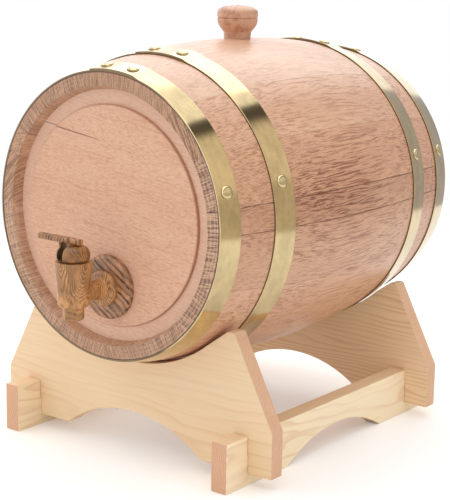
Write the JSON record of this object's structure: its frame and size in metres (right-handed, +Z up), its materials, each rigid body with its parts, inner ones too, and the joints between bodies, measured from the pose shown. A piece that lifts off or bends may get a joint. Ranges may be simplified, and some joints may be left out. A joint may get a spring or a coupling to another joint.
{
  "type": "cask dispenser",
  "caption": "Small coopered wooden cask with brass hoops, turned wooden tap and bung, lying on a slotted cradle stand; holds and pours a drink.",
  "frame": {"origin": "on the ground, under the middle of the object's box", "axes": "+Z up; +Y from the tapped front head to the rear head; +X to the right seen from the tap"},
  "size_m": [0.2254, 0.3025, 0.2859],
  "materials": {
    "stave_oak": "satin, open grain",
    "head_oak": "satin",
    "hoop_brass": "brushed satin",
    "tack_brass": "satin",
    "rosette_walnut": "satin, striped grain",
    "tap_wood": "satin",
    "key_wood": "satin",
    "lever_wood": "satin",
    "cork": "matte cork",
    "bung_wood": "satin",
    "pine_board": "bare planed",
    "pine_rail": "bare planed"
  },
  "bodies": {
    "stand": {"cradle_front": "pine_board", "cradle_rear": "pine_board", "rail_left": "pine_rail", "rail_right": "pine_rail"},
    "cask": {"stave_01": "stave_oak", "stave_02": "stave_oak", "stave_03": "stave_oak", "stave_04": "stave_oak", "stave_05": "stave_oak", "stave_06": "stave_oak", "stave_07": "stave_oak", "stave_08": "stave_oak", "stave_09": "stave_oak", "stave_10": "stave_oak", "stave_11": "stave_oak", "stave_12": "stave_oak", "stave_13": "stave_oak", "stave_14": "stave_oak", "stave_15": "stave_oak", "stave_16": "stave_oak", "stave_17": "stave_oak", "head_front_low": "head_oak", "head_front_mid": "head_oak", "head_front_top": "head_oak", "head_rear_low": "head_oak", "head_rear_mid": "head_oak", "head_rear_top": "head_oak", "hoop_front_end": "hoop_brass", "hoop_front_inner": "hoop_brass", "hoop_rear_inner": "hoop_brass", "hoop_rear_end": "hoop_brass", "tacks_front_end": "tack_brass", "tacks_front_inner": "tack_brass", "tacks_rear_inner": "tack_brass", "tacks_rear_end": "tack_brass", "rosette": "rosette_walnut"},
    "bung": {"bung": "bung_wood"},
    "tap": {"tap_body": "tap_wood", "tap_cork": "cork"},
    "key": {"tap_key": "key_wood", "tap_lever": "lever_wood"}
  },
  "joints": [
    {"name": "cask_lift", "type": "slide", "parent": "stand", "child": "cask", "axis": [0, 0, 1], "range_m": [0, 0.12]},
    {"name": "bung_pull", "type": "slide", "parent": "cask", "child": "bung", "axis": [0, 0, 1], "range_m": [0, 0.04]},
    {"name": "tap_pull", "type": "slide", "parent": "cask", "child": "tap", "axis": [0, -1, 0], "range_m": [0, 0.05]},
    {"name": "key_turn", "type": "hinge", "parent": "tap", "child": "key", "pos_m": [0, -0.13975, 0.1148], "axis": [0, 0, 1], "range_deg": [0, 90]}
  ]
}
